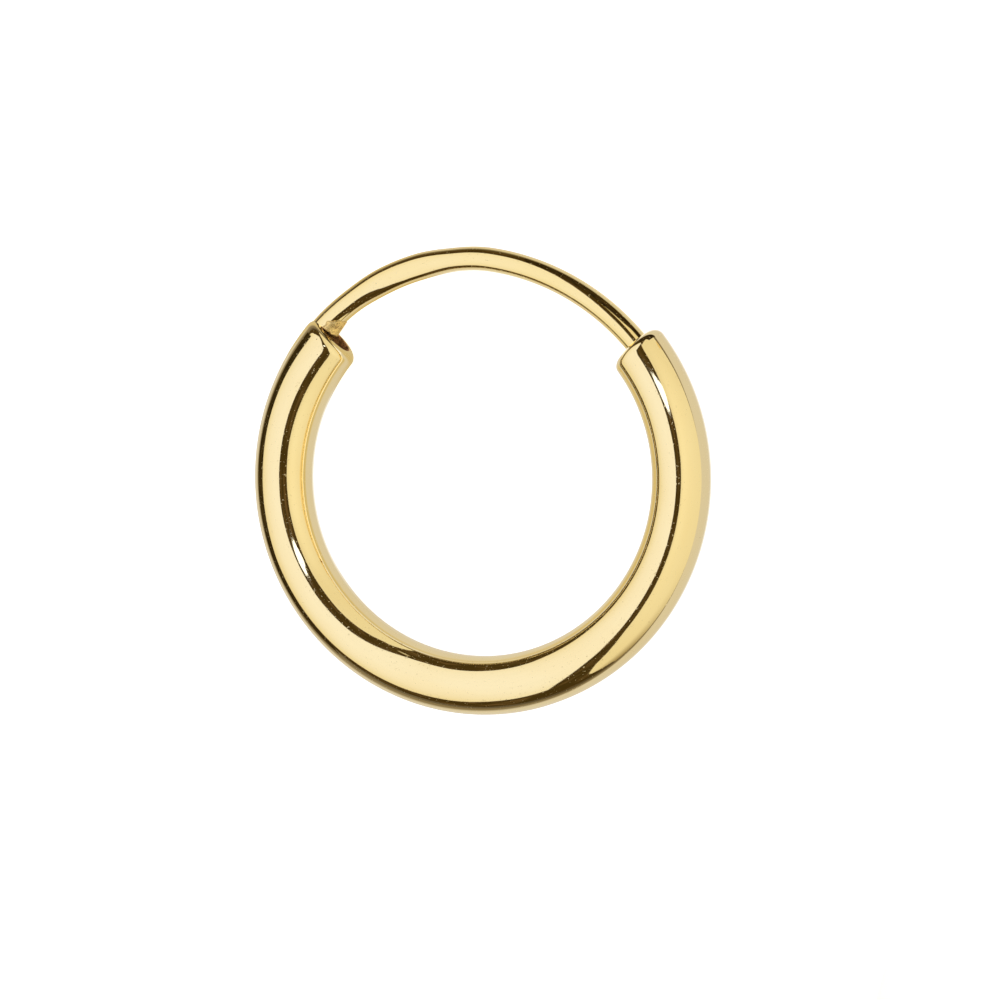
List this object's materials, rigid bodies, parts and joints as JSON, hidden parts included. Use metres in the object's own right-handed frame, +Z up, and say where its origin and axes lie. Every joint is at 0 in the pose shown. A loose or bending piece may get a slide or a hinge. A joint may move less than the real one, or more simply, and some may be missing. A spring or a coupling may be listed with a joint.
{
  "type": "hoop earring",
  "caption": "Small endless hoop earring: a hollow polished gold tube ring with an ear wire soldered into one mouth and slipped loose into the other.",
  "frame": {"origin": "the ring's centre, on the surface that the earring lies on; within 0.1 mm of the bottom centre of its box", "axes": "+Z up along the ring's axis, +Y towards the gap that the ear wire closes, +X towards the free mouth's side"},
  "size_m": [0.012, 0.0118, 0.0015],
  "materials": {
    "polished_gold": "polished"
  },
  "bodies": {
    "root": {"hoop_and_ear_wire": "polished_gold"}
  },
  "joints": []
}
